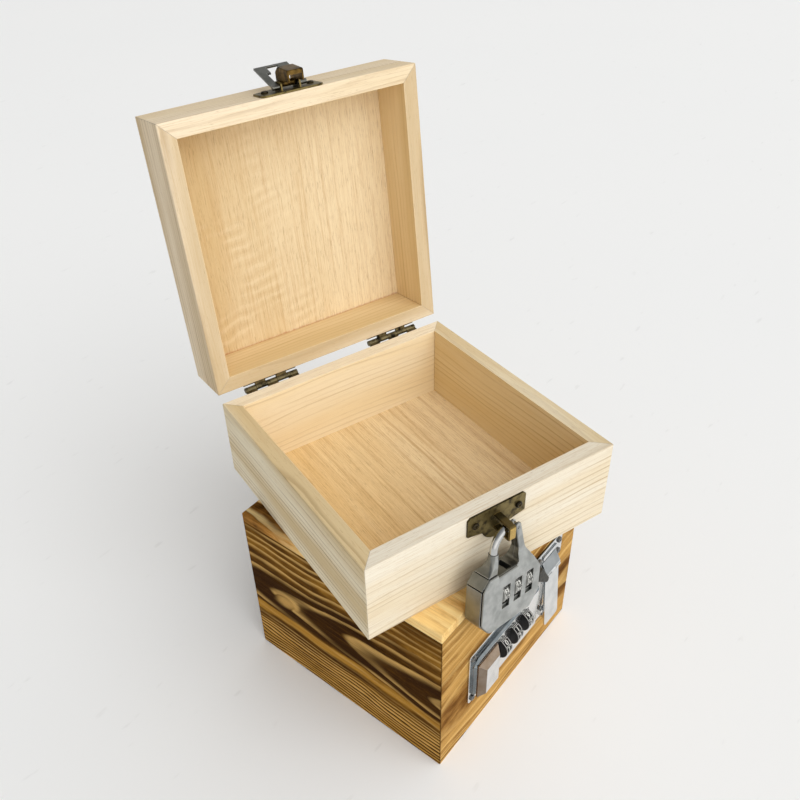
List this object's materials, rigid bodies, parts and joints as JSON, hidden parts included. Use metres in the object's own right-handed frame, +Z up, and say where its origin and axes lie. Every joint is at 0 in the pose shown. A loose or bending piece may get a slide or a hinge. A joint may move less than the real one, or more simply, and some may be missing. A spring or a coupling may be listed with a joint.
{
  "type": "stacked wooden lock boxes",
  "caption": "Open pale wooden box with a toggle clasp and a hanging combination padlock, standing askew on a closed charred wooden box with a sliding combination latch.",
  "frame": {"origin": "centre of the dark box's underside", "axes": "+Z up, -Y out of the dark box's latch face, +X to the right of the latch"},
  "size_m": [0.206, 0.2397, 0.325],
  "materials": {
    "dark_wood": "charred and brushed, matt",
    "pale_wood": "bare sanded wood",
    "bronze": "antique bronze plating, worn bright on the edges",
    "dark_screw": "blackened",
    "chrome": "polished",
    "steel_screw": "plated",
    "hinge_brass": "plated",
    "black_dial": "moulded",
    "silver_dial": "satin",
    "zinc": "satin die casting",
    "bow_steel": "polished",
    "dark_knob": "dark satin"
  },
  "bodies": {
    "dark_box": {"dark_front_wall": "dark_wood", "dark_back_wall": "dark_wood", "dark_left_wall": "dark_wood", "dark_right_wall": "dark_wood", "dark_floor": "dark_wood", "dark_hinge_box_leaves": "hinge_brass", "dark_hinge_pins": "hinge_brass", "dark_hinge_box_screws": "hinge_brass", "latch_plate": "chrome", "latch_cover": "chrome", "latch_axle": "chrome", "latch_plate_screws": "steel_screw"},
    "latch_dial_1": {"latch_dial_1": "black_dial"},
    "latch_dial_2": {"latch_dial_2": "black_dial"},
    "latch_dial_3": {"latch_dial_3": "black_dial"},
    "latch_button": {"latch_button": "chrome"},
    "dark_lid": {"dark_lid_front_rail": "dark_wood", "dark_lid_back_rail": "dark_wood", "dark_lid_left_rail": "dark_wood", "dark_lid_right_rail": "dark_wood", "dark_lid_panel": "dark_wood", "dark_hinge_lid_leaves": "hinge_brass", "dark_hinge_lid_screws": "hinge_brass", "hasp_plate": "chrome", "hasp_pin": "chrome", "hasp_screws": "steel_screw"},
    "hasp_flap": {"hasp_flap": "chrome"},
    "pale_box": {"pale_front_wall": "pale_wood", "pale_back_wall": "pale_wood", "pale_left_wall": "pale_wood", "pale_right_wall": "pale_wood", "pale_floor": "pale_wood", "pale_hinge_box_leaves": "bronze", "pale_hinge_pins": "bronze", "pale_hinge_box_screws": "dark_screw", "staple_plate": "bronze", "staple_screws": "dark_screw"},
    "pale_lid": {"pale_lid_front_rail": "pale_wood", "pale_lid_back_rail": "pale_wood", "pale_lid_left_rail": "pale_wood", "pale_lid_right_rail": "pale_wood", "pale_lid_panel": "pale_wood", "pale_hinge_lid_leaves": "bronze", "pale_hinge_lid_screws": "dark_screw", "clasp_plate": "bronze", "clasp_pin": "bronze", "clasp_screws": "dark_screw"},
    "clasp_lever": {"clasp_lever": "bronze"},
    "clasp_link": {"clasp_link": "bronze"},
    "padlock_shackle": {"padlock_bow": "bow_steel", "padlock_left_foot": "zinc"},
    "padlock_case": {"padlock_front_shell": "zinc", "padlock_back_shell": "zinc", "padlock_axle": "bow_steel", "padlock_arm_pin": "bow_steel"},
    "padlock_dial_1": {"padlock_dial_1": "silver_dial"},
    "padlock_dial_2": {"padlock_dial_2": "silver_dial"},
    "padlock_dial_3": {"padlock_dial_3": "silver_dial"},
    "padlock_knob": {"padlock_knob": "dark_knob"}
  },
  "joints": [
    {"name": "latch_dial_1_turn", "type": "hinge", "parent": "dark_box", "child": "latch_dial_1", "pos_m": [-0.0146, -0.0691, 0.0515], "axis": [1, 0, 0], "continuous": true},
    {"name": "latch_dial_2_turn", "type": "hinge", "parent": "dark_box", "child": "latch_dial_2", "pos_m": [-0.003, -0.0691, 0.0515], "axis": [1, 0, 0], "continuous": true},
    {"name": "latch_dial_3_turn", "type": "hinge", "parent": "dark_box", "child": "latch_dial_3", "pos_m": [0.0086, -0.0691, 0.0515], "axis": [1, 0, 0], "continuous": true},
    {"name": "latch_button_slide", "type": "slide", "parent": "dark_box", "child": "latch_button", "axis": [1, 0, 0], "range_m": [0, 0.0032]},
    {"name": "dark_lid_hinge", "type": "hinge", "parent": "dark_box", "child": "dark_lid", "pos_m": [0, 0.0717, 0.0708], "axis": [-1, 0, 0], "range_deg": [0, 95]},
    {"name": "hasp_flap_hinge", "type": "hinge", "parent": "dark_lid", "child": "hasp_flap", "pos_m": [0.035, -0.0719, 0.0702], "axis": [-1, 0, 0], "range_deg": [-4.5, 105.5]},
    {"name": "pale_box_lift", "type": "slide", "parent": "dark_lid", "child": "pale_box", "axis": [0, 0, 1], "range_m": [0, 0.12]},
    {"name": "pale_lid_hinge", "type": "hinge", "parent": "pale_box", "child": "pale_lid", "pos_m": [0.02761, 0.07932, 0.1615], "axis": [0.9494, -0.314, 0], "range_deg": [0, 97]},
    {"name": "clasp_lever_pivot", "type": "hinge", "parent": "pale_lid", "child": "clasp_lever", "pos_m": [0.03635, 0.10542, 0.316], "axis": [-0.9494, 0.314, 0], "range_deg": [0, 80]},
    {"name": "clasp_link_pivot", "type": "hinge", "parent": "pale_lid", "child": "clasp_link", "pos_m": [0.03528, 0.10216, 0.31591], "axis": [0.9494, -0.314, 0], "range_deg": [0, 158.5]},
    {"name": "padlock_swing", "type": "hinge", "parent": "pale_box", "child": "padlock_shackle", "pos_m": [-0.02253, -0.07389, 0.1525], "axis": [-0.9768, 0.1425, 0.1601], "range_deg": [0, 35]},
    {"name": "padlock_open", "type": "hinge", "parent": "padlock_shackle", "child": "padlock_case", "pos_m": [-0.01859, -0.07463, 0.15038], "axis": [-0.125, -0.9855, 0.1143], "range_deg": [0, 25]},
    {"name": "padlock_dial_1_turn", "type": "hinge", "parent": "padlock_case", "child": "padlock_dial_1", "pos_m": [-0.03303, -0.07752, 0.1185], "axis": [0.9768, -0.1425, -0.1601], "continuous": true},
    {"name": "padlock_dial_2_turn", "type": "hinge", "parent": "padlock_case", "child": "padlock_dial_2", "pos_m": [-0.02424, -0.0788, 0.11706], "axis": [0.9768, -0.1425, -0.1601], "continuous": true},
    {"name": "padlock_dial_3_turn", "type": "hinge", "parent": "padlock_case", "child": "padlock_dial_3", "pos_m": [-0.01545, -0.08008, 0.11561], "axis": [0.9768, -0.1425, -0.1601], "continuous": true},
    {"name": "padlock_knob_slide", "type": "slide", "parent": "padlock_case", "child": "padlock_knob", "axis": [-0.174, -0.0916, -0.9805], "range_m": [0, 0.003], "stiffness_N_per_m": 120, "springref_m": -0.002}
  ]
}
